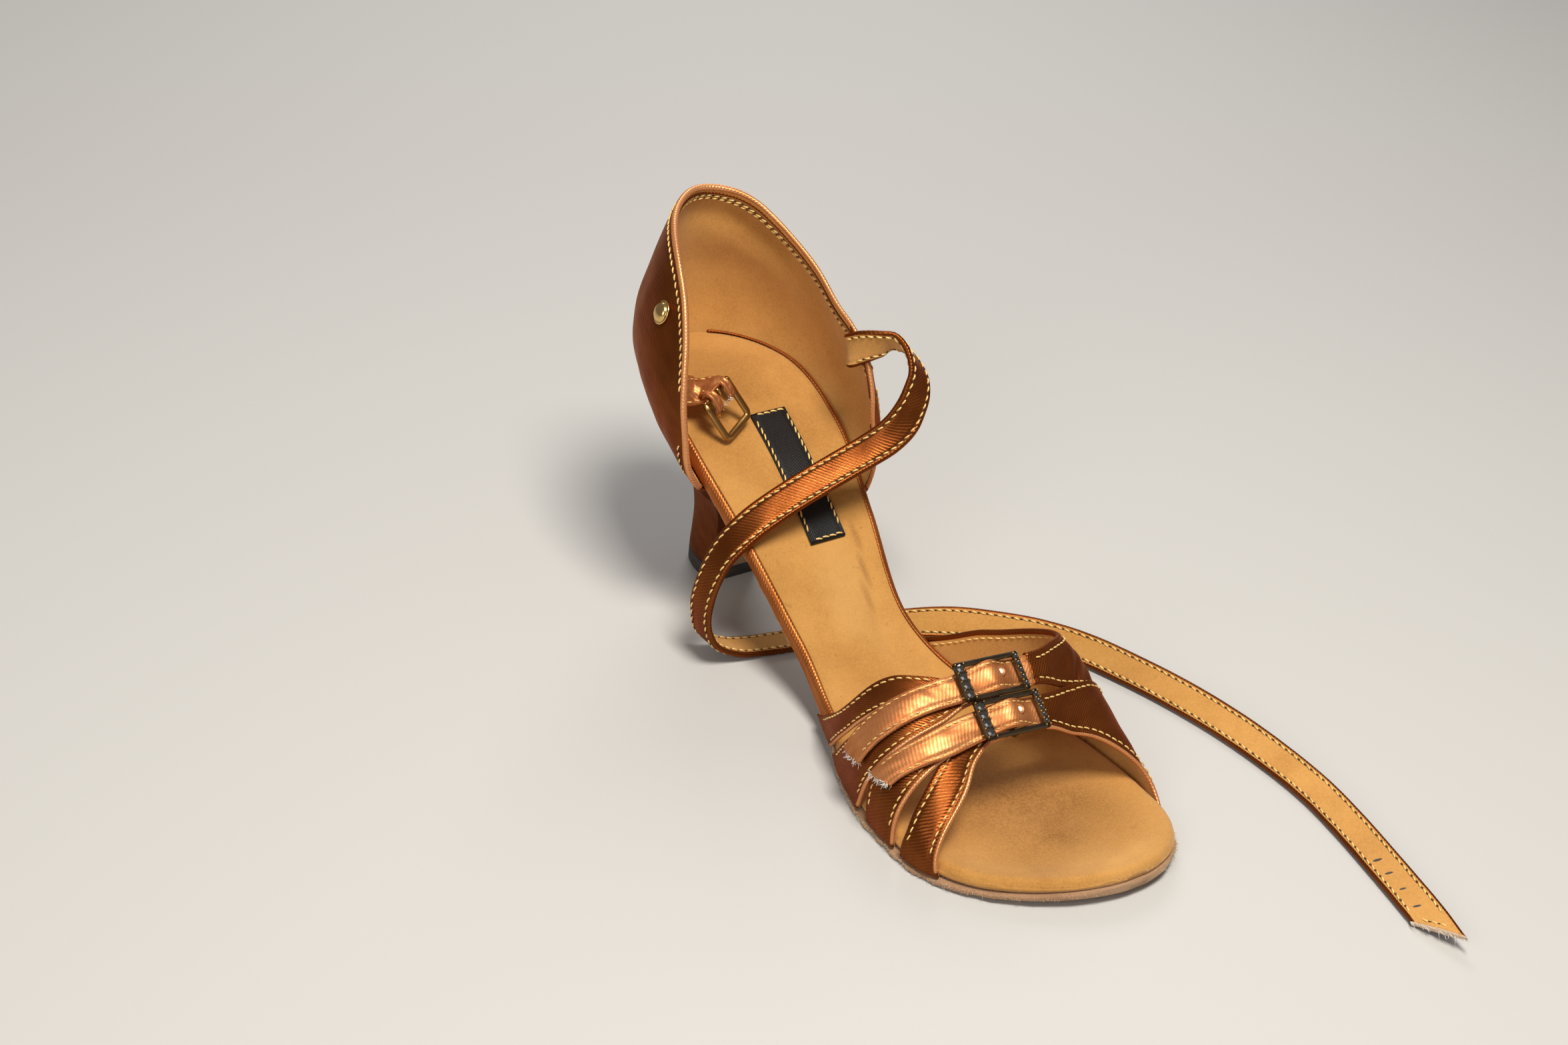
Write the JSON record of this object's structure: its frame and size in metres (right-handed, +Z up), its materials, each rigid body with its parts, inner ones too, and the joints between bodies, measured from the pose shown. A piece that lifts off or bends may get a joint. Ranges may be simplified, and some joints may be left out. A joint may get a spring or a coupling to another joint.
{
  "type": "latin dance shoe",
  "caption": "Ladies' open-toe latin dance sandal in copper satin: flared heel, closed heel cup, strapped vamp with buckles, slack ankle strap with buckle, suede sole.",
  "frame": {"origin": "on the floor, in the middle of the flat of the tread under the ball of the foot", "axes": "+Z up, -Y towards the toe, +X towards the inner side of the foot"},
  "size_m": [0.1337, 0.2938, 0.1223],
  "materials": {
    "satin": "copper satin with a fine diagonal rib",
    "sock_suede": "tan suede, worn and stained",
    "sole_suede": "pale napped suede",
    "label_cloth": "black woven patch with a pale stitched edge",
    "tip_rubber": "matt",
    "dark_metal": "antique dark metal set with small dark stones",
    "gold_metal": "polished gold tone"
  },
  "bodies": {
    "shoe": {"outsole": "sole_suede", "insole": "sock_suede", "sock_label": "label_cloth", "heel": "satin", "heel_tip": "tip_rubber", "counter": "satin", "vamp_medial": "satin", "vamp_lateral": "satin", "vamp_buckle_rear": "dark_metal", "vamp_buckle_front": "dark_metal", "ankle_strap": "satin", "buckle_strap": "satin", "counter_stud": "gold_metal"},
    "buckle": {"ankle_buckle": "gold_metal"},
    "prong": {"ankle_prong": "gold_metal"}
  },
  "joints": [
    {"name": "buckle_hinge", "type": "hinge", "parent": "shoe", "child": "buckle", "pos_m": [-0.0151, 0.1255, 0.0739], "axis": [-0.8571, -0.3751, -0.3531], "range_deg": [-4, 90]},
    {"name": "prong_hinge", "type": "hinge", "parent": "shoe", "child": "prong", "pos_m": [-0.0151, 0.1255, 0.0739], "axis": [-0.8571, -0.3751, -0.3531], "range_deg": [-40, 80]}
  ]
}
